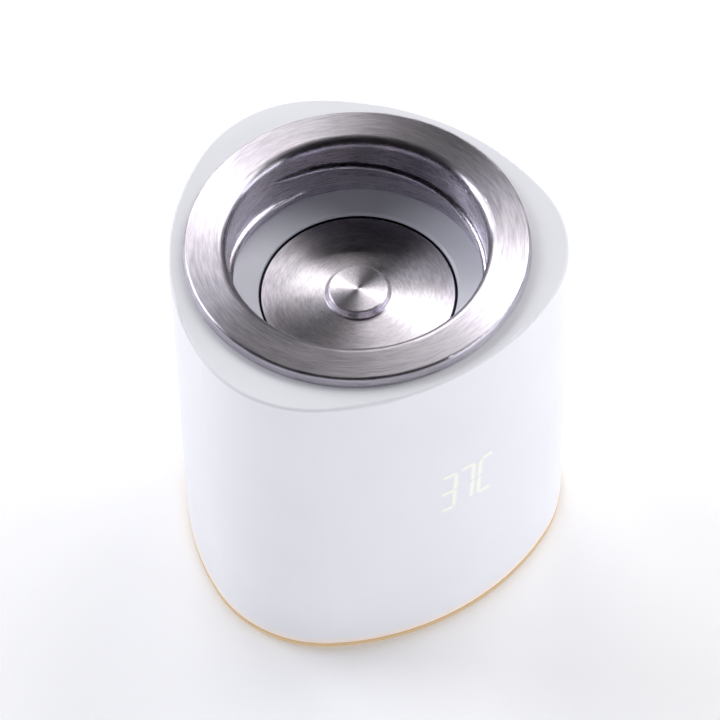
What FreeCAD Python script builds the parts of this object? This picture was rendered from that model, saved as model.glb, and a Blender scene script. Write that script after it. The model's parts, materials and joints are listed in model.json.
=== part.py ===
import FreeCAD, Part
import math
import os

# Bottle warmer: a rounded-triangle casing on a gold-trimmed base, with a threaded steel
# collar on top that a baby bottle screws into, upside down, over a heated plate.
# Millimetres. Origin on the collar's axis, on the surface that the warmer stands on.
# +Z up. The display faces -Y, and the button and charging inlet face +Y.

V = FreeCAD.Vector

# Heights above the surface
RING_TOP = 99.6
CASING_TOP = 97.0
TRIM_TOP = 1.6
TRIM_BOTTOM = 0.7
FOOT_TOP = 1.2
BASE_TOP = 4.0

# How far a cutting shape reaches past what it cuts
PAST = 1.0

# Outline of the casing's top: six tangent arcs, a corner arc at each of 90, 210 and 330 degrees
CORNER_ANGLES = (90, 210, 330)
SIDE_ANGLES = (270, 30, 150)
CORNER_CENTRE = 19.0
CORNER_RADIUS = 29.57
SIDE_CENTRE = 20.5
DRAFT_DEG = 1.06

# Casing
WALL = 2.2
TOP_WALL = 2.4
TOP_EDGE_RADIUS = 0.7
BOTTOM_EDGE_RADIUS = 0.9
TOP_HOLE_RADIUS = 31.5
TOP_POST_AT = 41.0
TOP_POST_RADIUS = 3.5
TOP_POST_BOTTOM = 86.0
BASE_POST_AT = 37.0
BASE_POST_RADIUS = 3.4
BASE_POST_TOP = 16.0
POST_WEB = 2.0
PILOT_RADIUS = 1.25

# Base
TRIM_WIDTH = 1.5
TRIM_FIT = 0.1
BASE_FIT = 0.15
FOOT_INSET = 5.0
FOOT_FIT = 0.15

# Collar, thread and what holds the collar
COLLAR_RADIUS = 40.0
COLLAR_BEVEL = 0.35
COLLAR_EDGE_RADIUS = 0.7
COLLAR_SHEET = 1.0
COLLAR_GAP = 0.15
LIP_RADIUS = 2.2
NECK_RADIUS = 30.0
NECK_BOTTOM = 82.3
BEAD_RADIUS = 1.15
THREAD_LEAD = 15.5
THREAD_STARTS = (84.0, 264.0)
THREAD_START_DROP = 7.65
THREAD_TURN_DEG = 166.0
THREAD_RUN_OUT = 8.5
GASKET_INNER = 33.0
GASKET_OUTER = 38.6
NUT_OUTER = 36.6
NUT_HEIGHT = 4.0
NUT_SLOTS = 6
NUT_SLOT_HALF = 2.0
NUT_SLOT_DEPTH = 2.0
RIM_EXTRA = 0.1
FIT = 0.05

# Seal, plate and heater
SEAL_INNER = 23.3
SEAL_OUTER = 31.5
PLATE_TOP = 80.3
PLATE_SHEET = 1.2
SEAL_NOSE = 0.75
SEAL_LAP = 0.2
SEAL_STEP = 0.05
NOSE_TOP_DEG = 100
GROOVE_WIDTH = 0.55
GROOVE_DEPTH = 0.55
GROOVE_EDGE = 0.2
BOSS_BASE = 8.1
BOSS_TOP = 6.6
BOSS_HEIGHT = 1.5
BOSS_FOOT = 0.5
BOSS_CROWN = 0.6
PROBE_POCKET = 2.9
ELEMENT_RADIUS = 24.0
ELEMENT_HOLE = 6.0
ELEMENT_THICK = 1.5
PAD_RADIUS = 22.0
PAD_HOLE = 3.0
PAD_TOP = 76.2
PROBE_RADIUS = 2.4
PROBE_FLANGE = 5.4
PROBE_FLANGE_THICK = 1.0
PROBE_RISE = 0.4
POCKET_RISE = 0.5
FUSE_SIZE = (8.0, 5.0)
FUSE_AT = 14.0
FUSE_EDGE = 0.4
TAB_AT = (8.0, 22.6)
TAB_SIZE = (6.0, 0.8)
TAB_BOTTOM = 66.0
TAB_SLOT_SPARE = 0.4
LEAD_RADIUS = 0.9
LEAD_BEND = 6.0

# Heater cup
CUP_RADIUS = 34.6
CUP_BORE = 31.8
CUP_LEDGE = 28.0
CUP_BOTTOM = 72.0
CUP_FLOOR = 1.5
EAR_RADIUS = 4.0
EAR_THICK = 2.5
EAR_HOLE = 1.6

# Screws
SCREW_HEAD_RADIUS = 2.3
SCREW_HEAD = 1.5
SCREW_RADIUS = 1.2
SCREW_LENGTH = 9.5
SCREW_SOCKET = 0.8
SCREW_SOCKET_DEPTH = 0.8
SCREW_HEAD_SPARE = 0.2

# Cells and their holders
CELL_RADIUS = 9.15
CELL_LENGTH = 65.0
CELL_BOTTOM = 5.5
CELL_AT = 11.55
CELL_CAP_RADIUS = 3.0
CELL_CAP = 0.6
SOCKET_BORE = 9.25
SOCKET_OUTER = 10.4
HOLDER_LOWER_TOP = 12.0
HOLDER_UPPER_BOTTOM = 62.0
HOLDER_UPPER_TOP = 71.5
LINK_THICK = 0.2
LINK_RADIUS = 4.0
LINK_HALF = 2.5

# Boards
BOARD = 1.6
MAIN_Y = 33.4
MAIN_HALF = 23.0
MAIN_LOW = 8.0
MAIN_HIGH = 66.0
DISPLAY_Y = -36.0
DISPLAY_HALF = 22.5
FRONT_REACH = DISPLAY_Y - 20.0
DISPLAY_LOW = 20.0
DISPLAY_HIGH = 70.0
DISPLAY_PINS = ((-18.0, 26.0), (18.0, 26.0), (-18.0, 66.0), (18.0, 66.0))
PIN_RADIUS = 2.0
WINDOW_X = (-8.0, 13.0)
WINDOW_Z = (43.5, 65.0)
WINDOW_WALL = 1.3
WINDOW_SPARE = 0.5
FILM = 0.4
RIBBON_X = 21.2
RIBBON_THICK = 0.3
RIBBON_Z = (46.0, 54.0)
RIB_X = (16.5, 21.5)
RIB_TOP = 14.0
RIB_THICK = 1.4

# Components on the main board's inner face: places as x and z, blocks as ranges of x and z
COIL_RADIUS = 5.0
COIL_HEIGHT = 5.5
COIL_AT = (-14.0, 40.0)
CAPACITOR_RADIUS = 3.1
CAPACITOR_HEIGHT = 7.0
CAPACITOR_PLACES = ((-13.0, 20.0), (-5.0, 20.0))
CHIP_HEIGHT = 1.0
CHIP_SPAN = ((-3.5, 3.5), (26.0, 33.0))
DRIVER_HEIGHT = 1.5
DRIVER_SPAN = ((12.0, 17.0), (28.0, 34.0))
SOCKET_HEIGHT = 4.5
SOCKET_SPAN = ((15.0, 20.0), (57.0, 64.0))

# Button and switch
BUTTON_Z = 40.0
BUTTON_RADIUS = 6.0
BUTTON_HOLE = 6.3
BUTTON_PROUD = 0.5
BUTTON_TRAVEL = 0.6
GUIDE_RADIUS = 9.0
GUIDE_FACE = 44.8
GUIDE_LENGTH = 3.2
BACK_REACH = GUIDE_FACE + 8.0
FLANGE_RADIUS = 7.6
FLANGE_THICK = 1.3
FLANGE_GAP = 0.1
BUTTON_EDGE = 0.4
STEM_RADIUS = 2.2
SWITCH_HALF = 3.1
SWITCH_FACE = 38.6
PLUNGER_RADIUS = 1.75
PLUNGER_BORE = 1.82
PLUNGER_LOW = 36.4
PLUNGER_LEFT_OUT = 1.3
PLUNGER_TOP = SWITCH_FACE + BUTTON_TRAVEL + PLUNGER_LEFT_OUT
BORE_FLOOR = 0.5

# Charging inlet
INLET_Z = 13.4
INLET_HALF = (4.47, 1.6)
INLET_WALL = 0.3
INLET_BACK = 41.0
INLET_MOUTH = 48.4
INLET_BLOCK = 1.5
INLET_OPENING = (4.95, 2.05)
TONGUE_HALF = (3.35, 0.35)
TONGUE_TIP = 46.8
INLET_BOARD_HALF = 8.0
INLET_BOARD_END = 46.2


def polar(radius, angle_deg, height=0.0):
    angle = math.radians(angle_deg)
    return V(radius * math.cos(angle), radius * math.sin(angle), height)


def box(x, y, z):
    """Box between the two values in each of x, y and z."""
    return Part.makeBox(x[1] - x[0], y[1] - y[0], z[1] - z[0], V(x[0], y[0], z[0]))


def rod(radius, low, high, centre=(0.0, 0.0)):
    """Upright cylinder."""
    return Part.makeCylinder(radius, high - low, V(centre[0], centre[1], low), V(0, 0, 1))


def tube(outer, inner, low, high, centre=(0.0, 0.0)):
    return rod(outer, low, high, centre).cut(rod(inner, low - PAST, high + PAST, centre))


def y_rod(radius, y_low, y_high, x, z):
    """Cylinder along Y."""
    return Part.makeCylinder(radius, y_high - y_low, V(x, y_low, z), V(0, 1, 0))


def tangent(side_centre, corner_centre, radius):
    """Point where a corner arc meets the side arc."""
    direction = corner_centre - side_centre
    direction.normalize()
    return corner_centre + direction * radius


def outline(offset, height):
    """Closed wire of the rounded triangle, moved outwards by offset."""
    corner_radius = CORNER_RADIUS + offset
    reach = polar(CORNER_CENTRE, CORNER_ANGLES[0]) - polar(-SIDE_CENTRE, CORNER_ANGLES[0] + 60)
    side_radius = reach.Length + corner_radius
    edges = []
    for angle in CORNER_ANGLES:
        corner = polar(CORNER_CENTRE, angle, height)
        next_corner = polar(CORNER_CENTRE, angle + 120, height)
        side_before = polar(-SIDE_CENTRE, angle - 60, height)
        side_after = polar(-SIDE_CENTRE, angle + 60, height)
        start = tangent(side_before, corner, corner_radius)
        end = tangent(side_after, corner, corner_radius)
        side_end = tangent(side_after, next_corner, corner_radius)
        corner_middle = polar(CORNER_CENTRE + corner_radius, angle, height)
        side_middle = polar(side_radius - SIDE_CENTRE, angle + 60, height)
        edges.append(Part.Arc(start, corner_middle, end).toShape())
        edges.append(Part.Arc(end, side_middle, side_end).toShape())
    return Part.Wire(edges)


def draft(height):
    """How far the drafted side stands out at this height, from the top's outline."""
    return (CASING_TOP - height) * math.tan(math.radians(DRAFT_DEG))


def drafted(inset, low, high):
    """Solid inside the casing's drafted sides, moved inwards by inset."""
    lower = outline(draft(low) - inset, low)
    upper = outline(draft(high) - inset, high)
    return Part.makeLoft([lower, upper], True, True)


def revolved(profile):
    """Solid of revolution about Z from edges in the XZ plane."""
    return Part.Face(Part.Wire(profile)).revolve(V(0, 0, 0), V(0, 0, 1), 360)


def line(start, end):
    return Part.LineSegment(V(start[0], 0, start[1]), V(end[0], 0, end[1])).toShape()


def corner_arc(centre, radius, from_deg, to_deg):
    """Arc in the XZ plane, angles from +X towards +Z."""
    points = []
    for angle_deg in (from_deg, (from_deg + to_deg) / 2, to_deg):
        angle = math.radians(angle_deg)
        points.append(V(centre[0] + radius * math.cos(angle), 0, centre[1] + radius * math.sin(angle)))
    return Part.Arc(points[0], points[1], points[2]).toShape()


def stadium(half, y_low, y_high, z):
    """Round-ended bar along Y: half is its half width and half height."""
    straight = half[0] - half[1]
    middle = box((-straight, straight), (y_low, y_high), (z - half[1], z + half[1]))
    left = y_rod(half[1], y_low, y_high, -straight, z)
    right = y_rod(half[1], y_low, y_high, straight, z)
    return middle.fuse([left, right]).removeSplitter()


def compound(solids):
    return Part.makeCompound(solids)


def casing():
    outer = drafted(0.0, TRIM_TOP, CASING_TOP)
    blank = outer.makeFillet(TOP_EDGE_RADIUS, edges_at(outer, CASING_TOP))
    blank = blank.makeFillet(BOTTOM_EDGE_RADIUS, edges_at(blank, TRIM_TOP))
    shell = blank.cut(drafted(WALL, TRIM_TOP, CASING_TOP - TOP_WALL))
    posts = [top_post(angle) for angle in CORNER_ANGLES]
    posts += [base_post(angle) for angle in SIDE_ANGLES]
    posts += [display_pin(x, z) for x, z in DISPLAY_PINS]
    posts.append(y_rod(GUIDE_RADIUS, GUIDE_FACE, GUIDE_FACE + GUIDE_LENGTH, 0.0, BUTTON_Z))
    core = drafted(WALL / 2, TRIM_TOP, CASING_TOP - TOP_WALL / 2)
    shell = shell.fuse([post.common(core) for post in posts])
    cuts = [rod(TOP_HOLE_RADIUS, CASING_TOP - 2 * TOP_WALL, RING_TOP)]
    cuts.append(y_rod(BUTTON_HOLE, GUIDE_FACE - PAST, BACK_REACH, 0.0, BUTTON_Z))
    cuts.append(stadium(INLET_OPENING, GUIDE_FACE, BACK_REACH, INLET_Z))
    cuts.append(display_window())
    cuts += [pilot(TOP_POST_AT, angle, TOP_POST_BOTTOM) for angle in CORNER_ANGLES]
    cuts += [pilot(BASE_POST_AT, angle, BASE_TOP) for angle in SIDE_ANGLES]
    return shell.cut(cuts).removeSplitter()


def edges_at(solid, height):
    """Level edges at this height."""
    found = []
    for edge in solid.Edges:
        bounds = edge.BoundBox
        if abs(bounds.ZMin - height) < 0.01 and abs(bounds.ZMax - height) < 0.01:
            found.append(edge)
    return found


def top_post(angle):
    centre = polar(TOP_POST_AT, angle)
    return rod(TOP_POST_RADIUS, TOP_POST_BOTTOM, CASING_TOP, (centre.x, centre.y))


def base_post(angle):
    """Screw post beside the wall, joined to it by a web."""
    web = box((BASE_POST_AT, BASE_POST_AT + 10), (-POST_WEB / 2, POST_WEB / 2), (BASE_TOP, BASE_POST_TOP))
    post = rod(BASE_POST_RADIUS, BASE_TOP, BASE_POST_TOP, (BASE_POST_AT, 0.0)).fuse(web)
    post.rotate(V(0, 0, 0), V(0, 0, 1), angle)
    return post


def pilot(radius, angle, low):
    """Screw hole in a post."""
    centre = polar(radius, angle)
    return rod(PILOT_RADIUS, low - PAST, low + SCREW_LENGTH - PAST, (centre.x, centre.y))


def display_pin(x, z):
    """Pin from the front wall to the display board."""
    return y_rod(PIN_RADIUS, FRONT_REACH, DISPLAY_Y, x, z)


def display_window():
    """Pocket that thins the front wall, so that the lit digits show through it."""
    pocket = drafted(WINDOW_WALL, WINDOW_Z[0] - PAST, WINDOW_Z[1] + PAST)
    slot = box((WINDOW_X[0] - WINDOW_SPARE, WINDOW_X[1] + WINDOW_SPARE), (FRONT_REACH, DISPLAY_Y),
               (WINDOW_Z[0] - WINDOW_SPARE, WINDOW_Z[1] + WINDOW_SPARE))
    return pocket.common(slot)


def trim_ring():
    return drafted(0.0, TRIM_BOTTOM, TRIM_TOP).cut(drafted(TRIM_WIDTH, TRIM_BOTTOM, TRIM_TOP))


def base_cover():
    """Bottom plate, stepped to sit inside the trim ring and the casing, with board rails on it."""
    plate = drafted(TRIM_WIDTH + TRIM_FIT, TRIM_BOTTOM, TRIM_TOP)
    plate = plate.fuse(drafted(WALL + BASE_FIT, TRIM_TOP, BASE_TOP))
    rails = []
    for side in (-1, 1):
        x = sorted((side * RIB_X[0], side * RIB_X[1]))
        near = MAIN_Y - FIT
        far = MAIN_Y + BOARD + FIT
        rails.append(box(x, (near - RIB_THICK, near), (TRIM_TOP, RIB_TOP)))
        rails.append(box(x, (far, far + RIB_THICK), (TRIM_TOP, RIB_TOP)))
    plate = plate.fuse(rails)
    cuts = [drafted(FOOT_INSET - FOOT_FIT, TRIM_BOTTOM, FOOT_TOP)]
    for angle in SIDE_ANGLES:
        centre = polar(BASE_POST_AT, angle)
        place = (centre.x, centre.y)
        cuts.append(rod(SCREW_HEAD_RADIUS + SCREW_HEAD_SPARE, TRIM_BOTTOM, FOOT_TOP + SCREW_HEAD, place))
        cuts.append(rod(EAR_HOLE, TRIM_BOTTOM, BASE_TOP + PAST, place))
    return plate.cut(cuts).removeSplitter()


def foot_pad():
    return Part.Face(outline(draft(TRIM_BOTTOM) - FOOT_INSET, 0.0)).extrude(V(0, 0, FOOT_TOP))


def screw(radius, angle, head_low):
    """Pan-head screw pointing up, with a hexagon socket in its head."""
    centre = polar(radius, angle)
    place = (centre.x, centre.y)
    head = rod(SCREW_HEAD_RADIUS, head_low, head_low + SCREW_HEAD, place)
    shank = rod(SCREW_RADIUS, head_low + SCREW_HEAD, head_low + SCREW_LENGTH, place)
    corners = [V(place[0], place[1], head_low) + polar(SCREW_SOCKET, 60 * k) for k in range(7)]
    socket = Part.Face(Part.makePolygon(corners)).extrude(V(0, 0, SCREW_SOCKET_DEPTH))
    return head.fuse(shank).cut(socket)


def base_screws():
    return compound([screw(BASE_POST_AT, angle, FOOT_TOP) for angle in SIDE_ANGLES])


def cup_screws():
    head_low = TOP_POST_BOTTOM - EAR_THICK - SCREW_HEAD
    return compound([screw(TOP_POST_AT, angle, head_low) for angle in CORNER_ANGLES])


def collar():
    """Rolled steel collar: bevelled rim, flat flange, rounded lip and neck with its thread."""
    rim_low = CASING_TOP + COLLAR_GAP
    edge = COLLAR_EDGE_RADIUS
    rim_outer = COLLAR_RADIUS - COLLAR_BEVEL
    flange_under = RING_TOP - COLLAR_SHEET
    neck_outer = NECK_RADIUS + COLLAR_SHEET
    lip = (NECK_RADIUS + LIP_RADIUS, RING_TOP - LIP_RADIUS)
    rim_inner = COLLAR_RADIUS - COLLAR_SHEET - RIM_EXTRA
    profile = [
        line((COLLAR_RADIUS, rim_low), (rim_outer, RING_TOP - edge)),
        corner_arc((rim_outer - edge, RING_TOP - edge), edge, 0, 90),
        line((rim_outer - edge, RING_TOP), (lip[0], RING_TOP)),
        corner_arc(lip, LIP_RADIUS, 90, 180),
        line((NECK_RADIUS, lip[1]), (NECK_RADIUS, NECK_BOTTOM)),
        line((NECK_RADIUS, NECK_BOTTOM), (neck_outer, NECK_BOTTOM)),
        line((neck_outer, NECK_BOTTOM), (neck_outer, lip[1])),
        corner_arc(lip, LIP_RADIUS - COLLAR_SHEET, 180, 90),
        line((lip[0], flange_under), (rim_inner, flange_under)),
        line((rim_inner, flange_under), (rim_inner, rim_low)),
        line((rim_inner, rim_low), (COLLAR_RADIUS, rim_low)),
    ]
    body = revolved(profile)
    return body.fuse([thread_bead(start) for start in THREAD_STARTS]).removeSplitter()


def thread_bead(start_deg):
    """Half-round bead on the neck's inner wall: it falls clockwise and runs out into the wall."""
    rise = THREAD_LEAD * THREAD_TURN_DEG / 360
    helix = Part.makeHelix(THREAD_LEAD, rise, NECK_RADIUS)
    lower_deg = start_deg - THREAD_TURN_DEG
    helix.rotate(V(0, 0, 0), V(0, 0, 1), lower_deg)
    helix.translate(V(0, 0, RING_TOP - THREAD_START_DROP - rise))
    climb = THREAD_LEAD / (2 * math.pi * NECK_RADIUS)
    low = polar(NECK_RADIUS, lower_deg, RING_TOP - THREAD_START_DROP - rise)
    high = polar(NECK_RADIUS, start_deg, RING_TOP - THREAD_START_DROP)
    low_run = (polar(1, lower_deg + 90) + V(0, 0, climb)) * -THREAD_RUN_OUT
    high_run = (polar(1, start_deg + 90) + V(0, 0, climb)) * THREAD_RUN_OUT
    first = Part.LineSegment(low + low_run, low).toShape()
    last = Part.LineSegment(high, high + high_run).toShape()
    path = Part.Wire([first] + helix.Edges + [last])
    circle = Part.Wire([Part.Circle(low + low_run, low_run, BEAD_RADIUS).toShape()])
    bead = path.makePipeShell([circle], True, True)
    return bead.common(rod(NECK_RADIUS + COLLAR_SHEET / 2, NECK_BOTTOM, RING_TOP))


def collar_gasket():
    return tube(GASKET_OUTER, GASKET_INNER, CASING_TOP, RING_TOP - COLLAR_SHEET)


def collar_nut():
    """Ring nut under the casing's top, with six spanner slots."""
    top = CASING_TOP - TOP_WALL
    nut = tube(NUT_OUTER, NECK_RADIUS + COLLAR_SHEET + FIT, top - NUT_HEIGHT, top)
    slot = box((NUT_OUTER - NUT_SLOT_DEPTH, NUT_OUTER + PAST), (-NUT_SLOT_HALF, NUT_SLOT_HALF),
               (top - NUT_HEIGHT - PAST, top - NUT_HEIGHT + NUT_SLOT_DEPTH))
    slots = []
    for k in range(NUT_SLOTS):
        copy = slot.copy()
        copy.rotate(V(0, 0, 0), V(0, 0, 1), 360 / NUT_SLOTS * k)
        slots.append(copy)
    return nut.cut(slots)


def seal_ring():
    """Seal that slopes down from the neck's edge to a round nose on the plate."""
    shoulder = NECK_RADIUS - SEAL_LAP
    nose = (SEAL_INNER + SEAL_NOSE, PLATE_TOP + SEAL_STEP)
    nose_end = (nose[0] + SEAL_NOSE * math.cos(math.radians(NOSE_TOP_DEG)),
                nose[1] + SEAL_NOSE * math.sin(math.radians(NOSE_TOP_DEG)))
    profile = [
        line((SEAL_INNER, PLATE_TOP), (SEAL_OUTER, PLATE_TOP)),
        line((SEAL_OUTER, PLATE_TOP), (SEAL_OUTER, NECK_BOTTOM)),
        line((SEAL_OUTER, NECK_BOTTOM), (shoulder, NECK_BOTTOM)),
        line((shoulder, NECK_BOTTOM), nose_end),
        corner_arc(nose, SEAL_NOSE, NOSE_TOP_DEG, 180),
        line((SEAL_INNER, nose[1]), (SEAL_INNER, PLATE_TOP)),
    ]
    return revolved(profile)


def heater_plate():
    """Plate with a low central boss, hollowed from below for the probe, and a groove beside the seal."""
    under = PLATE_TOP - PLATE_SHEET
    boss_top = PLATE_TOP + BOSS_HEIGHT
    foot = BOSS_FOOT
    crown = BOSS_CROWN
    wall = BOSS_BASE - foot
    groove_inner = SEAL_INNER - GROOVE_WIDTH
    groove_floor = PLATE_TOP - GROOVE_DEPTH
    profile = [
        line((0, under), (SEAL_OUTER, under)),
        line((SEAL_OUTER, under), (SEAL_OUTER, PLATE_TOP)),
        line((SEAL_OUTER, PLATE_TOP), (SEAL_INNER, PLATE_TOP)),
        line((SEAL_INNER, PLATE_TOP), (SEAL_INNER, groove_floor)),
        line((SEAL_INNER, groove_floor), (groove_inner, groove_floor)),
        line((groove_inner, groove_floor), (groove_inner, PLATE_TOP - GROOVE_EDGE)),
        corner_arc((groove_inner - GROOVE_EDGE, PLATE_TOP - GROOVE_EDGE), GROOVE_EDGE, 0, 90),
        line((groove_inner - GROOVE_EDGE, PLATE_TOP), (BOSS_BASE, PLATE_TOP)),
        corner_arc((BOSS_BASE, PLATE_TOP + foot), foot, 270, 180),
        line((wall, PLATE_TOP + foot), (BOSS_TOP + crown, boss_top - crown)),
        corner_arc((BOSS_TOP, boss_top - crown), crown, 0, 90),
        line((BOSS_TOP, boss_top), (0, boss_top)),
        line((0, boss_top), (0, under)),
    ]
    return revolved(profile).cut(rod(PROBE_POCKET, under - PAST, PLATE_TOP + POCKET_RISE))


def heating_element():
    top = PLATE_TOP - PLATE_SHEET
    return tube(ELEMENT_RADIUS, ELEMENT_HOLE, top - ELEMENT_THICK, top)


def insulation_pad():
    return tube(PAD_RADIUS, PAD_HOLE, CUP_BOTTOM + CUP_FLOOR, PAD_TOP)


def temperature_sensor():
    stem = rod(PROBE_RADIUS, PAD_TOP, PLATE_TOP + PROBE_RISE)
    return stem.fuse(rod(PROBE_FLANGE, PAD_TOP, PAD_TOP + PROBE_FLANGE_THICK)).removeSplitter()


def thermal_fuse():
    top = PLATE_TOP - PLATE_SHEET - ELEMENT_THICK
    block = box((FUSE_AT - FUSE_SIZE[0] / 2, FUSE_AT + FUSE_SIZE[0] / 2),
                (-FUSE_SIZE[1] / 2, FUSE_SIZE[1] / 2), (PAD_TOP, top))
    return block.makeFillet(FUSE_EDGE, block.Edges)


def tab_box(side, spare):
    """Blade beside the pad, spare larger all round for the slot that it passes through."""
    x = side * TAB_AT[0]
    return box((x - TAB_SIZE[0] / 2 - spare, x + TAB_SIZE[0] / 2 + spare),
               (TAB_AT[1] - TAB_SIZE[1] / 2 - spare, TAB_AT[1] + TAB_SIZE[1] / 2 + spare),
               (TAB_BOTTOM, PLATE_TOP - PLATE_SHEET - ELEMENT_THICK))


def heater_tabs():
    return compound([tab_box(side, 0.0) for side in (-1, 1)])


def heater_lead(side):
    """Lead from a blade's end down, and round one bend to the main board."""
    x = side * TAB_AT[0]
    y = TAB_AT[1]
    bend_low = TAB_BOTTOM - LEAD_BEND
    level = bend_low - LEAD_BEND
    middle = LEAD_BEND * (1 - math.sqrt(0.5))
    down = Part.LineSegment(V(x, y, TAB_BOTTOM), V(x, y, bend_low)).toShape()
    bend = Part.Arc(V(x, y, bend_low), V(x, y + middle, level + middle), V(x, y + LEAD_BEND, level))
    across = Part.LineSegment(V(x, y + LEAD_BEND, level), V(x, MAIN_Y, level)).toShape()
    circle = Part.Wire([Part.Circle(V(x, y, TAB_BOTTOM), V(0, 0, -1), LEAD_RADIUS).toShape()])
    return Part.Wire([down, bend.toShape(), across]).makePipeShell([circle], True, True)


def heater_leads():
    return compound([heater_lead(side) for side in (-1, 1)])


def heater_cup():
    """Cup that presses the plate and seal up against the neck, with three ears."""
    ledge = PLATE_TOP - PLATE_SHEET
    profile = [
        line((0, CUP_BOTTOM), (CUP_RADIUS, CUP_BOTTOM)),
        line((CUP_RADIUS, CUP_BOTTOM), (CUP_RADIUS, TOP_POST_BOTTOM)),
        line((CUP_RADIUS, TOP_POST_BOTTOM), (CUP_BORE, TOP_POST_BOTTOM)),
        line((CUP_BORE, TOP_POST_BOTTOM), (CUP_BORE, ledge)),
        line((CUP_BORE, ledge), (CUP_LEDGE, ledge)),
        line((CUP_LEDGE, ledge), (CUP_LEDGE, CUP_BOTTOM + CUP_FLOOR)),
        line((CUP_LEDGE, CUP_BOTTOM + CUP_FLOOR), (0, CUP_BOTTOM + CUP_FLOOR)),
        line((0, CUP_BOTTOM + CUP_FLOOR), (0, CUP_BOTTOM)),
    ]
    cup = revolved(profile).fuse([ear(angle) for angle in CORNER_ANGLES])
    cuts = [tab_box(side, TAB_SLOT_SPARE) for side in (-1, 1)]
    for angle in CORNER_ANGLES:
        centre = polar(TOP_POST_AT, angle)
        cuts.append(rod(EAR_HOLE, CUP_BOTTOM, RING_TOP, (centre.x, centre.y)))
    return cup.cut(cuts).removeSplitter()


def ear(angle):
    low = TOP_POST_BOTTOM - EAR_THICK
    end = rod(EAR_RADIUS, low, TOP_POST_BOTTOM, (TOP_POST_AT, 0.0))
    arm = box((CUP_RADIUS - 1, TOP_POST_AT), (-EAR_RADIUS, EAR_RADIUS), (low, TOP_POST_BOTTOM))
    solid = end.fuse(arm)
    solid.rotate(V(0, 0, 0), V(0, 0, 1), angle)
    return solid


def cell_places():
    return [polar(CELL_AT, angle) for angle in SIDE_ANGLES]


def battery_cells():
    cells = []
    for place in cell_places():
        centre = (place.x, place.y)
        can_top = CELL_BOTTOM + CELL_LENGTH - CELL_CAP
        can = rod(CELL_RADIUS, CELL_BOTTOM, can_top, centre)
        cells.append(can.fuse(rod(CELL_CAP_RADIUS, can_top, can_top + CELL_CAP, centre)))
    return compound(cells)


def holder(low, high, floor_low, floor_high, link_low):
    """Three joined sockets with a solid floor, cut away where the link plate lies."""
    places = [(place.x, place.y) for place in cell_places()]
    block = rod(SOCKET_OUTER, low, high, places[0])
    block = block.fuse([rod(SOCKET_OUTER, low, high, place) for place in places[1:]])
    block = block.fuse(rod(CELL_AT / 2, low, high))
    spaces = [rod(SOCKET_BORE, low - PAST, high + PAST, place) for place in places]
    floor = rod(SOCKET_OUTER, floor_low, floor_high, places[0])
    floor = floor.fuse([rod(SOCKET_OUTER, floor_low, floor_high, place) for place in places[1:]])
    return block.cut(spaces).fuse(floor).cut(cell_link(link_low)).removeSplitter()


def cell_holder_lower():
    link_low = CELL_BOTTOM - LINK_THICK
    return holder(BASE_TOP, HOLDER_LOWER_TOP, BASE_TOP, link_low, link_low)


def cell_holder_upper():
    link_low = CELL_BOTTOM + CELL_LENGTH
    return holder(HOLDER_UPPER_BOTTOM, HOLDER_UPPER_TOP, link_low + LINK_THICK, HOLDER_UPPER_TOP, link_low)


def cell_link(low):
    """Nickel plate that joins the three cells at one end."""
    plate = rod(LINK_RADIUS, low, low + LINK_THICK)
    for place in cell_places():
        plate = plate.fuse(rod(LINK_RADIUS, low, low + LINK_THICK, (place.x, place.y)))
    for angle in SIDE_ANGLES:
        arm = box((0, CELL_AT), (-LINK_HALF, LINK_HALF), (low, low + LINK_THICK))
        arm.rotate(V(0, 0, 0), V(0, 0, 1), angle)
        plate = plate.fuse(arm)
    return plate.removeSplitter()


def cell_links():
    return compound([cell_link(CELL_BOTTOM - LINK_THICK), cell_link(CELL_BOTTOM + CELL_LENGTH)])


def main_board():
    return box((-MAIN_HALF, MAIN_HALF), (MAIN_Y, MAIN_Y + BOARD), (MAIN_LOW, MAIN_HIGH))


def on_board(height, span):
    """Block on the board's inner face."""
    return box(span[0], (MAIN_Y - height, MAIN_Y), span[1])


def board_parts():
    """Coil, capacitors, chips and socket on the board's inner face."""
    coil = y_rod(COIL_RADIUS, MAIN_Y - COIL_HEIGHT, MAIN_Y, COIL_AT[0], COIL_AT[1])
    chip = on_board(CHIP_HEIGHT, CHIP_SPAN)
    driver = on_board(DRIVER_HEIGHT, DRIVER_SPAN)
    socket = on_board(SOCKET_HEIGHT, SOCKET_SPAN)
    face = MAIN_Y - CAPACITOR_HEIGHT
    capacitors = [y_rod(CAPACITOR_RADIUS, face, MAIN_Y, x, z) for x, z in CAPACITOR_PLACES]
    return compound([coil, chip, driver, socket] + capacitors)


def button_switch():
    body = box((-SWITCH_HALF, SWITCH_HALF), (MAIN_Y + BOARD, SWITCH_FACE),
               (BUTTON_Z - SWITCH_HALF, BUTTON_Z + SWITCH_HALF))
    return body.cut(y_rod(PLUNGER_BORE, MAIN_Y + BOARD + BORE_FLOOR, SWITCH_FACE + PAST, 0.0, BUTTON_Z))


def switch_plunger():
    return y_rod(PLUNGER_RADIUS, PLUNGER_LOW, PLUNGER_TOP, 0.0, BUTTON_Z)


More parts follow.
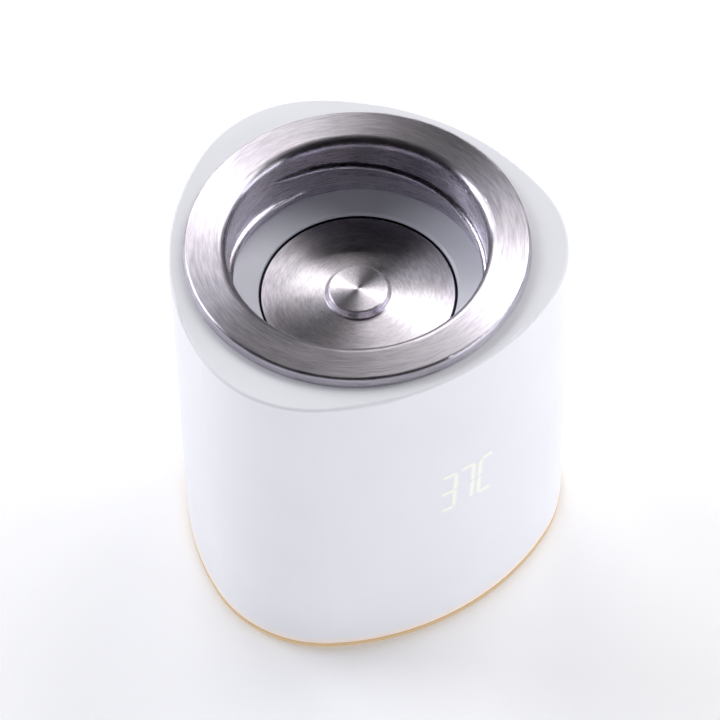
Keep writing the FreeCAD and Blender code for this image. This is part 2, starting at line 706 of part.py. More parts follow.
def power_button():
    """Button whose outer face follows the casing, with a flange behind the wall and a stem."""
    surface = drafted(-BUTTON_PROUD, BUTTON_Z - FLANGE_RADIUS, BUTTON_Z + FLANGE_RADIUS)
    flange_face = GUIDE_FACE - FLANGE_GAP
    flange_back = flange_face - FLANGE_THICK
    cap = y_rod(BUTTON_RADIUS, flange_back, BACK_REACH, 0.0, BUTTON_Z).common(surface)
    outer_edges = [edge for edge in cap.Edges if edge.BoundBox.YMin > GUIDE_FACE + WALL]
    cap = cap.makeFillet(BUTTON_EDGE, outer_edges)
    flange = y_rod(FLANGE_RADIUS, flange_back, flange_face, 0.0, BUTTON_Z)
    stem = y_rod(STEM_RADIUS, PLUNGER_TOP, flange_back, 0.0, BUTTON_Z)
    return cap.fuse([flange, stem]).removeSplitter()


def inlet_shell():
    inner = (INLET_HALF[0] - INLET_WALL, INLET_HALF[1] - INLET_WALL)
    outer = stadium(INLET_HALF, INLET_BACK, INLET_MOUTH, INLET_Z)
    return outer.cut(stadium(inner, INLET_BACK + INLET_WALL, INLET_MOUTH + PAST, INLET_Z))


def inlet_tongue():
    """Contact tongue on its block at the back of the inlet."""
    inner = (INLET_HALF[0] - INLET_WALL, INLET_HALF[1] - INLET_WALL)
    block = stadium(inner, INLET_BACK + INLET_WALL, INLET_BACK + INLET_BLOCK, INLET_Z)
    tongue = box((-TONGUE_HALF[0], TONGUE_HALF[0]), (INLET_BACK + INLET_WALL, TONGUE_TIP),
                 (INLET_Z - TONGUE_HALF[1], INLET_Z + TONGUE_HALF[1]))
    return block.fuse(tongue).removeSplitter()


def inlet_board():
    top = INLET_Z - INLET_HALF[1]
    return box((-INLET_BOARD_HALF, INLET_BOARD_HALF), (MAIN_Y + BOARD, INLET_BOARD_END), (top - BOARD, top))


def display_board():
    return box((-DISPLAY_HALF, DISPLAY_HALF), (DISPLAY_Y, DISPLAY_Y + BOARD), (DISPLAY_LOW, DISPLAY_HIGH))


def behind_window(inset, y_high):
    """What fills the window from its inset front surface back to y_high."""
    surface = drafted(inset, WINDOW_Z[0], WINDOW_Z[1])
    return surface.common(box(WINDOW_X, (FRONT_REACH, y_high), WINDOW_Z))


def display_film():
    front = WINDOW_WALL + FIT
    return behind_window(front, DISPLAY_Y).cut(behind_window(front + FILM, DISPLAY_Y))


def digit_module():
    return behind_window(WINDOW_WALL + FILM + 2 * FIT, DISPLAY_Y)


def display_ribbon():
    return box((RIBBON_X, RIBBON_X + RIBBON_THICK), (DISPLAY_Y + BOARD, MAIN_Y), RIBBON_Z)


PARTS = (
    casing, trim_ring, base_cover, foot_pad, base_screws,
    collar, collar_gasket, collar_nut,
    seal_ring, heater_plate, heating_element, insulation_pad, temperature_sensor, thermal_fuse,
    heater_tabs, heater_leads, heater_cup, cup_screws,
    battery_cells, cell_holder_lower, cell_holder_upper, cell_links,
    main_board, board_parts, button_switch, switch_plunger, power_button,
    inlet_shell, inlet_tongue, inlet_board,
    display_board, digit_module, display_film, display_ribbon,
)

os.makedirs("parts", exist_ok=True)
for part in PARTS:
    shape = part()
    solids = len(shape.Solids)
    print(part.__name__, shape.isValid(), "solids", solids, "volume", round(shape.Volume, 1))
    shape.exportStep("parts/" + part.__name__ + ".step")
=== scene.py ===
import json
import math

import bmesh
import bpy
from mathutils import Matrix, Vector


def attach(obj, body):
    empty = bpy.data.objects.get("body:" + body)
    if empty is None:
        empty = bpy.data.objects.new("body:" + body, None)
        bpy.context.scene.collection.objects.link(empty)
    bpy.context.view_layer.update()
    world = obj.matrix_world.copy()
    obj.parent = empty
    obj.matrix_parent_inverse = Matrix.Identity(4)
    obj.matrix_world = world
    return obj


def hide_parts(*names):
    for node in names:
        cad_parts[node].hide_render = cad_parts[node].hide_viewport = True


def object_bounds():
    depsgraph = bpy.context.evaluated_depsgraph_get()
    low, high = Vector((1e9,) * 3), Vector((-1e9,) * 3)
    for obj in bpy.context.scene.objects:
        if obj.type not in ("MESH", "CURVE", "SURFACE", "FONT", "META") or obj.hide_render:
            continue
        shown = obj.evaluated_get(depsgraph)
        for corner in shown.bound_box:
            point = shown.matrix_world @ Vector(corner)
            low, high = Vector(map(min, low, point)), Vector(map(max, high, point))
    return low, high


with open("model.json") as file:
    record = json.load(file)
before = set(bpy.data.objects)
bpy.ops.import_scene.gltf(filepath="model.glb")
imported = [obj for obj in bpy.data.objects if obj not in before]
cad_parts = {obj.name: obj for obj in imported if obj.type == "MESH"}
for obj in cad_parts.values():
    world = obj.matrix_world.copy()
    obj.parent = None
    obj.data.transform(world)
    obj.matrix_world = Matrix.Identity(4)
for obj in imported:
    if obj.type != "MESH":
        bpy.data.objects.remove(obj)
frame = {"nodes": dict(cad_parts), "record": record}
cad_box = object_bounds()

# Bottle warmer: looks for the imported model. Metres, in the frame's own axes: +Z up, display
# towards -Y, button and charging inlet towards +Y.

MM = 0.001

# Relief that a full-strength bump stands for
GRAIN_RELIEF = 0.1 * MM
BRUSH_RELIEF = 0.02 * MM
FIBRE_RELIEF = 0.3 * MM

# Noise scale of a coarse, matt moulding grain
MATT = 2500.0

# Brushed steel. A brushed face spreads its highlights across the grooves, a quarter turn from
# the tangent.
QUARTER_TURN = 0.25
BRUSH_LINES = 2400.0
BRUSH_DEPTH = 0.04
FINE_SHARE = 0.75
NEAR_AXIS = 0.001 * MM

# Inside the radius DRAWN_WITHIN the collar is drawn rather than brushed: its roughness there, as
# a share of the flange's
SMOOTH_SHARE = 0.8
DRAWN_WITHIN = 30.4 * MM
DRAWN_BLEND = 2.0 * MM

# Painted shade: the plate's groove is painted dark, from this radius outwards
GROOVE_FROM = 22.6 * MM
GROOVE_BLEND = 0.1 * MM
GROOVE_SHADE_COLOUR = (0.02, 0.02, 0.025, 1.0)

# Warm light of the trim on the casing, which fades between these heights
WARM_BAND = (1.6 * MM, 5.0 * MM)
WARM_COLOUR = (0.93, 0.79, 0.66, 1.0)

# Faces of a new piece that meet at more than this many degrees keep a sharp edge
SHARP_FROM = 35

# Camera
VIEW_AZIMUTH = -30.0
VIEW_ELEVATION = 53.02
VIEW_DISTANCE = 0.6816
VIEW_ROLL = -1.5
VIEW_RISE = 0.0043
LENS = 141.35

# Studio: the walls' and the ceiling's brightness, and the sines of the elevations between them
WALL_LEVEL = 1.95
CEILING_LEVEL = 0.1
WALL_TOP = 0.22
CEILING_FROM = 0.48
WALL_COLOUR = (0.935, 0.935, 0.985, 1.0)
LIGHT_DISTANCE = 1.8
FLOOR_HALF = 3.0
FLOOR_COLOUR = (0.96, 0.96, 0.965, 1.0)
FLOOR_GLOW = 0.12

# Lit digits, on the casing's front, and the soft light round them
DIGIT_HEIGHT = 12.7 * MM
DIGIT_WIDTH = 3.6 * MM
DIGIT_PITCH = 4.9 * MM
UNIT_GAP = 0.7 * MM
DIGIT_SLANT = 0.06
DIGIT_STROKE = 0.66 * MM
DIGIT_GAP = 0.45 * DIGIT_STROKE
DIGIT_POINT = 0.3
GLOW_STROKE = 1.5 * MM
DIGIT_LEFT = -4.8 * MM
DIGIT_BOTTOM = 47.9 * MM
DIGIT_PROUD = 0.04 * MM
GLOW_PROUD = 0.02 * MM
SEGMENTS = {
    "top": ((0, 1), (1, 1)),
    "upper_left": ((0, 0.5), (0, 1)),
    "upper_right": ((1, 0.5), (1, 1)),
    "middle": ((0, 0.5), (1, 0.5)),
    "lower_left": ((0, 0), (0, 0.5)),
    "lower_right": ((1, 0), (1, 0.5)),
    "bottom": ((0, 0), (1, 0)),
}
CHARACTERS = {
    "3": ("top", "upper_right", "middle", "lower_right", "bottom"),
    "7": ("top", "upper_right", "lower_right"),
    "C": ("top", "upper_left", "lower_left", "bottom"),
}
READING = "37C"

# Casing's outline, as the frame's part has it: corner arcs and side arcs, with draft. Each arc
# spans twice its half angle, in degrees.
SIDE_CENTRE = 20.5 * MM
SIDE_RADIUS = 63.786 * MM
SIDE_HALF = 28.744
CORNER_CENTRE = 19.0 * MM
CORNER_RADIUS = 29.57 * MM
CORNER_HALF = 31.256
CASING_TOP = 97.0 * MM
DRAFT = math.tan(math.radians(1.06))
CORNERS = (90, 210, 330)
CORNER_STEPS = 32
SIDE_STEPS = 24

# How far a raised mark reaches into the surface it stands on
SUNK = 0.1 * MM
STROKE_STEPS = 8

# Power symbol on the button
BUTTON_Z = 40.0 * MM
BUTTON_PROUD = 0.5 * MM
SYMBOL_RADIUS = 2.2 * MM
SYMBOL_STROKE = 0.55 * MM
SYMBOL_OPENING = 70.0
SYMBOL_PROUD = 0.06 * MM
SYMBOL_BAR = (0.35 * SYMBOL_RADIUS, 1.3 * SYMBOL_RADIUS)
SYMBOL_STEPS = 40

# Foot pad and the grooves moulded in its underside
FOOT_INSET = 5.0 * MM
FOOT_LEVEL = 0.7 * MM
FOOT_TOP = 1.2 * MM
FOOT_EDGE = 0.25 * MM
TREAD_FROM = 2.5 * MM
TREAD_PITCH = 2.8 * MM
TREAD_WIDTH = 1.2 * MM
TREAD_DEPTH = 0.4 * MM
TREAD_GROOVES = 7

# Contacts on both faces of the charging inlet's tongue
CONTACTS = 12
CONTACT_PITCH = 0.5 * MM
CONTACT_HALF = 0.13 * MM
CONTACT_Y = (42.8 * MM, 46.6 * MM)
CONTACT_PROUD = 0.05 * MM
INLET_Z = 13.4 * MM
TONGUE_HALF = 0.35 * MM


# Node helpers

class Shader:
    """A material's node tree, with short calls for the nodes used here."""

    def __init__(self, name, roughness=0.5, metallic=0.0):
        self.material = bpy.data.materials.new(name)
        self.material.use_nodes = True
        self.tree = self.material.node_tree
        self.bsdf = self.tree.nodes["Principled BSDF"]
        self.set("Roughness", roughness)
        self.set("Metallic", metallic)

    def set(self, socket, value):
        self.bsdf.inputs[socket].default_value = value

    def add(self, kind, **values):
        node = self.tree.nodes.new(kind)
        for name, value in values.items():
            setattr(node, name, value)
        return node

    def link(self, source, target):
        self.tree.links.new(source, target)

    def feed(self, value, socket):
        if isinstance(value, (int, float, tuple)):
            socket.default_value = value
        else:
            self.link(value, socket)

    def math(self, operation, first, second=0.0):
        node = self.add("ShaderNodeMath", operation=operation)
        self.feed(first, node.inputs[0])
        self.feed(second, node.inputs[1])
        return node.outputs[0]

    def place(self):
        """Object coordinates: metres in the frame's axes."""
        return self.add("ShaderNodeTexCoord").outputs["Object"]

    def scaled(self, vector, scale):
        node = self.add("ShaderNodeVectorMath", operation="MULTIPLY")
        self.feed(vector, node.inputs[0])
        node.inputs[1].default_value = scale
        return node.outputs[0]

    def noise(self, vector, scale, detail=3.0, roughness=0.5):
        node = self.add("ShaderNodeTexNoise")
        self.feed(vector, node.inputs["Vector"])
        node.inputs["Scale"].default_value = scale
        node.inputs["Detail"].default_value = detail
        node.inputs["Roughness"].default_value = roughness
        return node.outputs["Fac"]

    def spread(self, value, low, high, from_low=0.3, from_high=0.7):
        """A 0 to 1 pattern, mapped to a range of another quantity."""
        node = self.add("ShaderNodeMapRange")
        self.feed(value, node.inputs["Value"])
        node.inputs["From Min"].default_value = from_low
        node.inputs["From Max"].default_value = from_high
        node.inputs["To Min"].default_value = low
        node.inputs["To Max"].default_value = high
        return node.outputs[0]

    def colours(self, value, stops):
        node = self.add("ShaderNodeValToRGB")
        ramp = node.color_ramp
        while len(ramp.elements) < len(stops):
            ramp.elements.new(0.5)
        for element, (position, colour) in zip(ramp.elements, stops):
            element.position = position
            element.color = (*colour, 1.0)
        self.feed(value, node.inputs[0])
        return node.outputs[0]

    def bump(self, height, strength, distance):
        node = self.add("ShaderNodeBump")
        node.inputs["Strength"].default_value = strength
        node.inputs["Distance"].default_value = distance
        self.link(height, node.inputs["Height"])
        self.link(node.outputs[0], self.bsdf.inputs["Normal"])

    def height(self):
        split = self.add("ShaderNodeSeparateXYZ")
        self.link(self.place(), split.inputs[0])
        return split.outputs["Z"]

    def blend(self, share, first, second):
        node = self.add("ShaderNodeMix", data_type="RGBA")
        self.feed(share, node.inputs[0])
        self.feed(first, node.inputs[6])
        self.feed(second, node.inputs[7])
        return node.outputs[2]

    def radius(self):
        """Distance from the Z axis."""
        flat = self.add("ShaderNodeVectorMath", operation="LENGTH")
        self.link(self.scaled(self.place(), (1.0, 1.0, 0.0)), flat.inputs[0])
        return flat.outputs["Value"]

    def turned(self, around, across):
        """Coordinates that follow a lathe's cut about Z: angle slowly, radius and height fast."""
        split = self.add("ShaderNodeSeparateXYZ")
        self.link(self.place(), split.inputs[0])
        x, y, z = split.outputs
        radius = self.radius()
        join = self.add("ShaderNodeCombineXYZ")
        east = self.math("DIVIDE", x, self.math("ADD", radius, NEAR_AXIS))
        north = self.math("DIVIDE", y, self.math("ADD", radius, NEAR_AXIS))
        fast_radius = self.math("MULTIPLY", radius, across)
        fast_height = self.math("MULTIPLY", z, across)
        depth = self.math("ADD", fast_radius, fast_height)
        self.link(self.math("MULTIPLY", east, around), join.inputs[0])
        self.link(self.math("MULTIPLY", north, around), join.inputs[1])
        self.link(depth, join.inputs[2])
        return join.outputs[0]


def plastic(name, dark, light, roughness, grain=9000.0, depth=0.02):
    """Moulded plastic: a very fine spark-eroded texture and slight colour drift."""
    shader = Shader(name, roughness)
    drift = shader.noise(shader.place(), 35.0, 2.0)
    fine = shader.noise(shader.place(), grain, 2.0)
    shader.link(shader.colours(drift, ((0.35, dark), (0.65, light))), shader.bsdf.inputs["Base Color"])
    shader.link(shader.spread(fine, roughness - 0.05, roughness + 0.05), shader.bsdf.inputs["Roughness"])
    shader.bump(fine, depth, GRAIN_RELIEF)
    return shader


def casing_plastic():
    """The casing's pale plastic, with the trim's warm light on its lowest few millimetres."""
    shader = plastic("casing", (0.765, 0.77, 0.80), (0.785, 0.79, 0.82), 0.42, depth=0.03)
    colour = shader.bsdf.inputs["Base Color"]
    plain = colour.links[0].from_socket
    near = shader.spread(shader.height(), 1.0, 0.0, *WARM_BAND)
    shader.link(shader.blend(near, plain, WARM_COLOUR), colour)
    return shader


def turned_steel(name, dark, light, roughness, anisotropic, depth=0.0):
    """Steel with a circular brush about Z: fine rings that vary along their length."""
    shader = Shader(name, roughness, 1.0)
    fine = shader.noise(shader.turned(7.0, BRUSH_LINES), 1.0, 4.0, 0.65)
    broad = shader.noise(shader.turned(2.0, BRUSH_LINES / 6), 1.0, 2.0)
    fine_part = shader.math("MULTIPLY", fine, FINE_SHARE)
    broad_part = shader.math("MULTIPLY", broad, 1.0 - FINE_SHARE)
    mixed = shader.math("ADD", fine_part, broad_part)
    shader.link(shader.colours(mixed, ((0.36, dark), (0.64, light))), shader.bsdf.inputs["Base Color"])
    shader.link(shader.spread(mixed, roughness - 0.02, roughness + 0.03), shader.bsdf.inputs["Roughness"])
    if depth:
        shader.bump(fine, depth, BRUSH_RELIEF)
    shader.set("Anisotropic", anisotropic)
    shader.set("Anisotropic Rotation", QUARTER_TURN)
    tangent = shader.add("ShaderNodeTangent", direction_type="RADIAL", axis="Z")
    shader.link(tangent.outputs[0], shader.bsdf.inputs["Tangent"])
    return shader


def collar_steel():
    """Brushed flange, and a drawn, smoother neck."""
    shader = turned_steel("collar_steel", (0.50, 0.47, 0.54), (0.79, 0.75, 0.82), 0.34, 0.85, BRUSH_DEPTH)
    roughness = shader.bsdf.inputs["Roughness"]
    grade = roughness.links[0].from_socket
    brushed = shader.spread(shader.radius(), SMOOTH_SHARE, 1.0, DRAWN_WITHIN, DRAWN_WITHIN + DRAWN_BLEND)
    shader.link(shader.math("MULTIPLY", grade, brushed), roughness)
    return shader


def plate_steel():
    """Brushed plate, with painted shade in the groove beside the seal."""
    shader = turned_steel("plate_steel", (0.59, 0.555, 0.62), (0.88, 0.835, 0.90), 0.31, 0.9)
    colour = shader.bsdf.inputs["Base Color"]
    plain = colour.links[0].from_socket
    # Painted shade: near black colour from the groove's radius outwards
    groove_shade = shader.spread(shader.radius(), 0.0, 1.0, GROOVE_FROM, GROOVE_FROM + GROOVE_BLEND)
    shader.link(shader.blend(groove_shade, plain, GROOVE_SHADE_COLOUR), colour)
    return shader


def rubber(name, dark, light, roughness, subsurface=0.0):
    """Silicone or rubber: a cloudy colour and a fine matt grain."""
    shader = Shader(name, roughness)
    cloud = shader.noise(shader.place(), 60.0, 3.0)
    fine = shader.noise(shader.place(), 4200.0, 2.0)
    shader.link(shader.colours(cloud, ((0.35, dark), (0.65, light))), shader.bsdf.inputs["Base Color"])
    shader.link(shader.spread(fine, roughness - 0.06, roughness + 0.06), shader.bsdf.inputs["Roughness"])
    shader.bump(fine, 0.05, GRAIN_RELIEF)
    shader.set("Subsurface Weight", subsurface)
    shader.set("Subsurface Radius", (0.002, 0.002, 0.0018))
    return shader


def metal(name, dark, light, roughness, grain=1500.0):
    """Plain metal with a faint horizontal grain."""
    shader = Shader(name, roughness, 1.0)
    fine = shader.noise(shader.scaled(shader.place(), (1.0, 1.0, 6.0)), grain, 3.0)
    shader.link(shader.colours(fine, ((0.3, dark), (0.7, light))), shader.bsdf.inputs["Base Color"])
    shader.link(shader.spread(fine, roughness - 0.06, roughness + 0.08), shader.bsdf.inputs["Roughness"])
    shader.bump(fine, 0.05, GRAIN_RELIEF)
    return shader


def gold():
    """Satin gold trim that glows faintly, lit from behind."""
    shader = metal("gold_trim", (0.38, 0.27, 0.14), (0.44, 0.32, 0.17), 0.4)
    shader.set("Emission Color", (1.0, 0.78, 0.52, 1.0))
    shader.set("Emission Strength", 0.33)
    return shader


def board_lacquer():
    """Green solder mask with the copper's pattern showing faintly through it."""
    shader = Shader("board", 0.3)
    cells = shader.add("ShaderNodeTexVoronoi", feature="DISTANCE_TO_EDGE", distance="CHEBYCHEV")
    shader.link(shader.place(), cells.inputs["Vector"])
    cells.inputs["Scale"].default_value = 420.0
    stops = ((0.04, (0.01, 0.14, 0.06)), (0.12, (0.01, 0.07, 0.035)))
    shader.link(shader.colours(cells.outputs["Distance"], stops), shader.bsdf.inputs["Base Color"])
    shader.bump(cells.outputs["Distance"], 0.1, GRAIN_RELIEF)
    return shader


def fibre():
    """Pressed fibre of the insulation pad."""
    shader = Shader("insulation", 0.95)
    strands = shader.noise(shader.scaled(shader.place(), (1.0, 1.0, 4.0)), 1800.0, 6.0, 0.8)
    shader.link(shader.colours(strands, ((0.3, (0.50, 0.46, 0.38)), (0.7, (0.74, 0.70, 0.62)))),
                shader.bsdf.inputs["Base Color"])
    shader.bump(strands, 0.6, FIBRE_RELIEF)
    return shader


def digit_light(name, dark, light, strength):
    """Pale yellow light seen through the casing's wall."""
    shader = Shader(name, 0.45)
    cloud = shader.noise(shader.place(), 900.0, 2.0)
    shader.link(shader.colours(cloud, ((0.3, dark), (0.7, light))), shader.bsdf.inputs["Base Color"])
    shader.set("Emission Color", (1.0, 0.98, 0.8, 1.0))
    shader.set("Emission Strength", strength)
    return shader


def materials():
    """One shader for each of the record's material slots."""
    made = {
        "casing": casing_plastic(),
        "gold_trim": gold(),
        "base_plastic": plastic("base_plastic", (0.62, 0.63, 0.65), (0.66, 0.67, 0.69), 0.6, 3000.0, 0.15),
        "foot_silicone": rubber("foot_silicone", (0.20, 0.205, 0.22), (0.23, 0.235, 0.25), 0.75),
        "screw_steel": metal("screw_steel", (0.42, 0.43, 0.45), (0.55, 0.56, 0.58), 0.35),
        "collar_steel": collar_steel(),
        "gasket": rubber("gasket", (0.012, 0.012, 0.014), (0.02, 0.02, 0.022), 0.7),
        "inner_plastic": plastic("inner_plastic", (0.025, 0.025, 0.028), (0.035, 0.035, 0.04),
                                 0.55, MATT, 0.2),
        "seal_silicone": rubber("seal_silicone", (0.78, 0.79, 0.86), (0.83, 0.84, 0.91), 0.34, 0.15),
        "plate_steel": plate_steel(),
        "element": rubber("element", (0.05, 0.035, 0.028), (0.09, 0.065, 0.05), 0.6),
        "insulation": fibre(),
        "nickel": metal("nickel", (0.55, 0.54, 0.51), (0.68, 0.67, 0.64), 0.3),
        "cell_wrap": plastic("cell_wrap", (0.03, 0.18, 0.17), (0.04, 0.22, 0.21), 0.28, 1200.0, 0.1),
        "board": board_lacquer(),
        "black_plastic": plastic("black_plastic", (0.012, 0.012, 0.013), (0.02, 0.02, 0.022), 0.5, MATT, 0.2),
        "lead": rubber("lead", (0.35, 0.02, 0.015), (0.45, 0.035, 0.025), 0.5),
        "button": plastic("button", (0.76, 0.77, 0.80), (0.78, 0.79, 0.82), 0.38, depth=0.03),
        "light_plastic": plastic("light_plastic", (0.70, 0.70, 0.62), (0.76, 0.76, 0.68), 0.4),
        "digits": digit_light("digits", (0.83, 0.83, 0.76), (0.85, 0.85, 0.78), 0.08),
        "digit_glow": digit_light("digit_glow", (0.80, 0.805, 0.78), (0.81, 0.815, 0.79), 0.05),
        "symbol_print": plastic("symbol_print", (0.34, 0.345, 0.37), (0.38, 0.385, 0.41), 0.5),
    }
    return {slot: shader.material for slot, shader in made.items()}


def dress(object_, material):
    object_.data.materials.clear()
    object_.data.materials.append(material)


def dress_frame(made):
    """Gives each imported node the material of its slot."""
    for entry in frame["record"]["subparts"]:
        dress(frame["nodes"][entry["node"]], made[entry["material_slot"]])


# New pieces

def piece(name, mesh_maker, material, body):
    """New object made of closed skins, with its sharp edges kept."""
    mesh = bpy.data.meshes.new(name)
    form = bmesh.new()
    mesh_maker(form)
    bmesh.ops.recalc_face_normals(form, faces=form.faces)
    form.to_mesh(mesh)
    form.free()
    mesh.set_sharp_from_angle(angle=math.radians(SHARP_FROM))
    made = bpy.data.objects.new(name, mesh)
    bpy.context.scene.collection.objects.link(made)
    dress(made, material)
    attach(made, body)
    return made


def skin(form, rings):
    """Closed skin over a row of rings of points."""
    rows = [[form.verts.new(point) for point in ring] for ring in rings]
    count = len(rows[0])
    for before, after in zip(rows, rows[1:]):
        for k in range(count):
            following = (k + 1) % count
            form.faces.new((before[k], before[following], after[following], after[k]))
    form.faces.new(rows[0])
    form.faces.new(rows[-1])


def on_front(x, z, proud):
    """Point on the casing's front at this x and height, moved outwards."""
    radius = SIDE_RADIUS + (CASING_TOP - z) * DRAFT + proud
    return Vector((x, SIDE_CENTRE - math.sqrt(radius * radius - x * x), z))


def on_button(x, z, proud):
    """Point on the button's outer face."""
    radius = CORNER_RADIUS + (CASING_TOP - z) * DRAFT + BUTTON_PROUD + proud
    return Vector((x, CORNER_CENTRE + math.sqrt(radius * radius - x * x), z))


def edge_ring(surface, left, right, proud):
    """Section of a raised mark whose sides stand at two places of a surface."""
    return [surface(*left, proud), surface(*right, proud), surface(*right, -SUNK), surface(*left, -SUNK)]


def stroke(form, surface, start, end, width, proud, point=1.0):
    """Raised bar between two places of a surface, narrowed at its ends to this share of its width."""
    start = Vector(start)
    end = Vector(end)
    along = (end - start).normalized()
    across = Vector((-along.y, along.x)) * (width / 2)
    rings = []
    for k in range(STROKE_STEPS + 1):
        centre = start.lerp(end, k / STROKE_STEPS)
        half = across * (point if k in (0, STROKE_STEPS) else 1.0)
        rings.append(edge_ring(surface, centre - half, centre + half, proud))
    skin(form, rings)


def digit_bars(form, width, proud, gap):
    for place, character in enumerate(READING):
        left = DIGIT_LEFT + place * DIGIT_PITCH + (UNIT_GAP if character.isalpha() else 0.0)
        for name in CHARACTERS[character]:
            ends = []
            for across, up in SEGMENTS[name]:
                x = left + across * DIGIT_WIDTH + up * DIGIT_HEIGHT * DIGIT_SLANT
                ends.append(Vector((x, DIGIT_BOTTOM + up * DIGIT_HEIGHT)))
            inwards = (ends[1] - ends[0]).normalized() * gap
            stroke(form, on_front, ends[0] + inwards, ends[1] - inwards, width, proud, DIGIT_POINT)


def digits(form):
    digit_bars(form, DIGIT_STROKE, DIGIT_PROUD, DIGIT_GAP)


def digit_glow(form):
    digit_bars(form, GLOW_STROKE, GLOW_PROUD, 0.0)


def power_symbol(form):
    """Ring that is open at the top, with a bar in the opening."""
    rings = []
    for k in range(SYMBOL_STEPS + 1):
        angle = math.radians(90 + SYMBOL_OPENING / 2 + (360 - SYMBOL_OPENING) * k / SYMBOL_STEPS)
        sides = []
        for radius in (SYMBOL_RADIUS + SYMBOL_STROKE / 2, SYMBOL_RADIUS - SYMBOL_STROKE / 2):
            sides.append((radius * math.cos(angle), BUTTON_Z + radius * math.sin(angle)))
        rings.append(edge_ring(on_button, sides[0], sides[1], SYMBOL_PROUD))
    skin(form, rings)
    low = (0.0, BUTTON_Z + SYMBOL_BAR[0])
    high = (0.0, BUTTON_Z + SYMBOL_BAR[1])
    stroke(form, on_button, low, high, SYMBOL_STROKE, SYMBOL_PROUD)


def arc_points(centre, radius, middle, half, steps, z):
    """Points of an arc about a centre on the ray at the angle middle."""
    at = math.radians(middle)
    x, y = centre * math.cos(at), centre * math.sin(at)
    points = []
    for k in range(steps):
        angle = math.radians(middle - half + 2 * half * k / steps)
        points.append(Vector((x + radius * math.cos(angle), y + radius * math.sin(angle), z)))
    return points


def outline(offset, z):
    """Ring of points round the rounded triangle, moved outwards by offset."""
    points = []
    for corner in CORNERS:
        points += arc_points(CORNER_CENTRE, CORNER_RADIUS + offset, corner, CORNER_HALF, CORNER_STEPS, z)
        points += arc_points(-SIDE_CENTRE, SIDE_RADIUS + offset, corner + 60, SIDE_HALF, SIDE_STEPS, z)
    return points


def foot_tread(form):
    """Foot pad with grooves that follow its outline round the underside."""
    edge = (CASING_TOP - FOOT_LEVEL) * DRAFT - FOOT_INSET
    section = [(0.0, FOOT_TOP), (0.0, FOOT_EDGE), (FOOT_EDGE, 0.0)]
    slope = TREAD_DEPTH / 2
    for k in range(TREAD_GROOVES):
        start = TREAD_FROM + k * TREAD_PITCH
        section.append((start, 0.0))
        section.append((start + slope, TREAD_DEPTH))
        section.append((start + TREAD_WIDTH - slope, TREAD_DEPTH))
        section.append((start + TREAD_WIDTH, 0.0))
    skin(form, [outline(edge - inwards, z) for inwards, z in section])


def inlet_contacts(form):
    """Flat contacts on the upper and lower face of the tongue."""
    for side in (-1, 1):
        face = INLET_Z + side * TONGUE_HALF
        heights = (face - side * SUNK, face + side * CONTACT_PROUD)
        for k in range(CONTACTS):
            x = (k - (CONTACTS - 1) / 2) * CONTACT_PITCH
            left = x - CONTACT_HALF
            right = x + CONTACT_HALF
            section = [(left, heights[0]), (right, heights[0]), (right, heights[1]), (left, heights[1])]
            skin(form, [[Vector((across, y, up)) for across, up in section] for y in CONTACT_Y])


def new_pieces(made):
    piece("display_glow", digit_glow, made["digit_glow"], "warmer")
    piece("display_digits", digits, made["digits"], "warmer")
    piece("power_symbol", power_symbol, made["symbol_print"], "button")
    piece("inlet_contacts", inlet_contacts, made["nickel"], "warmer")
    tread = piece("foot_tread", foot_tread, made["foot_silicone"], "warmer")
    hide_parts("foot_pad")


# Scene

def camera():
    low, high = cad_box
    azimuth = math.radians(VIEW_AZIMUTH)
    elevation = math.radians(VIEW_ELEVATION)
    target = Vector((0, 0, (low.z + high.z) / 2 + VIEW_RISE))
    back = Vector((math.sin(azimuth) * math.cos(elevation), -math.cos(azimuth) * math.cos(elevation),
                   math.sin(elevation)))
    right = Vector((math.cos(azimuth), math.sin(azimuth), 0))
    up = back.cross(right)
    roll = math.radians(VIEW_ROLL)
    rolled_right = right * math.cos(roll) + up * math.sin(roll)
    rolled_up = up * math.cos(roll) - right * math.sin(roll)
    data = bpy.data.cameras.new("camera")
    data.lens = LENS
    made = bpy.data.objects.new("camera", data)
    turn = Matrix((rolled_right, rolled_up, back)).transposed().to_4x4()
    made.matrix_world = Matrix.Translation(target + back * VIEW_DISTANCE) @ turn
    bpy.context.scene.collection.objects.link(made)
    bpy.context.scene.camera = made


def floor():
    mesh = bpy.data.meshes.new("floor")
    corners = [(-1, -1), (1, -1), (1, 1), (-1, 1)]
    points = [(x * FLOOR_HALF, y * FLOOR_HALF, cad_box[0].z) for x, y in corners]
    mesh.from_pydata(points, [], [(0, 1, 2, 3)])
    made = bpy.data.objects.new("floor", mesh)
    bpy.context.scene.collection.objects.link(made)
    shader = Shader("floor", 0.8)
    shader.set("Base Color", FLOOR_COLOUR)
    shader.set("Emission Color", (1.0, 1.0, 1.0, 1.0))
    shader.set("Emission Strength", FLOOR_GLOW)
    dress(made, shader.material)


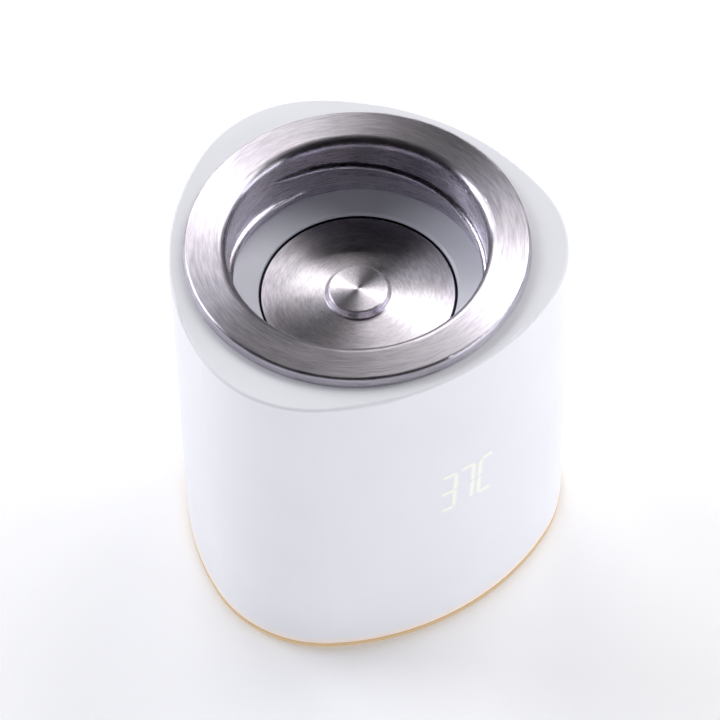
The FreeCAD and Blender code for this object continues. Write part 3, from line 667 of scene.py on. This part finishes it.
def area_light(name, azimuth, elevation, size, power, colour):
    """Soft box that looks at the collar."""
    a = math.radians(azimuth)
    e = math.radians(elevation)
    target = Vector((0, 0, CASING_TOP))
    back = Vector((math.sin(a) * math.cos(e), -math.cos(a) * math.cos(e), math.sin(e)))
    data = bpy.data.lights.new(name, "AREA")
    data.shape = "RECTANGLE"
    data.size = size[0]
    data.size_y = size[1]
    data.energy = power
    data.color = colour
    made = bpy.data.objects.new(name, data)
    turn = back.to_track_quat("Z", "Y").to_matrix().to_4x4()
    made.matrix_world = Matrix.Translation(target + back * LIGHT_DISTANCE) @ turn
    bpy.context.scene.collection.objects.link(made)


def studio():
    """Pale walls all round and a dim ceiling, which fill the shadows without showing in the steel."""
    world = bpy.data.worlds.new("studio")
    world.use_nodes = True
    tree = world.node_tree
    height = tree.nodes.new("ShaderNodeSeparateXYZ")
    level = tree.nodes.new("ShaderNodeMapRange")
    level.inputs["From Min"].default_value = WALL_TOP
    level.inputs["From Max"].default_value = CEILING_FROM
    level.inputs["To Min"].default_value = WALL_LEVEL
    level.inputs["To Max"].default_value = CEILING_LEVEL
    background = tree.nodes["Background"]
    background.inputs["Color"].default_value = WALL_COLOUR
    tree.links.new(tree.nodes.new("ShaderNodeTexCoord").outputs["Generated"], height.inputs[0])
    tree.links.new(height.outputs["Z"], level.inputs["Value"])
    tree.links.new(level.outputs[0], background.inputs["Strength"])
    world.cycles_visibility.glossy = False
    return world


def lights():
    """Strong box behind on the right, a side box each way, and an even fill that steel doesn't mirror."""
    area_light("back_box", 104, 50, (1.0, 0.7), 10.5, (1.0, 0.985, 0.965))
    area_light("rear_box", 168, 37, (0.9, 0.6), 8.0, (1.0, 0.985, 0.965))
    area_light("right_box", 80, 36, (0.8, 0.8), 4.0, (0.90, 0.92, 1.0))
    area_light("left_box", -145, 36, (0.9, 0.7), 13.5, (0.92, 0.935, 1.0))
    area_light("low_box", 45, 12, (1.2, 0.7), 6.5, (0.94, 0.95, 1.0))
    bpy.context.scene.world = studio()
    bpy.context.scene.view_settings.view_transform = "Standard"


made = materials()
dress_frame(made)
new_pieces(made)
camera()
floor()
lights()
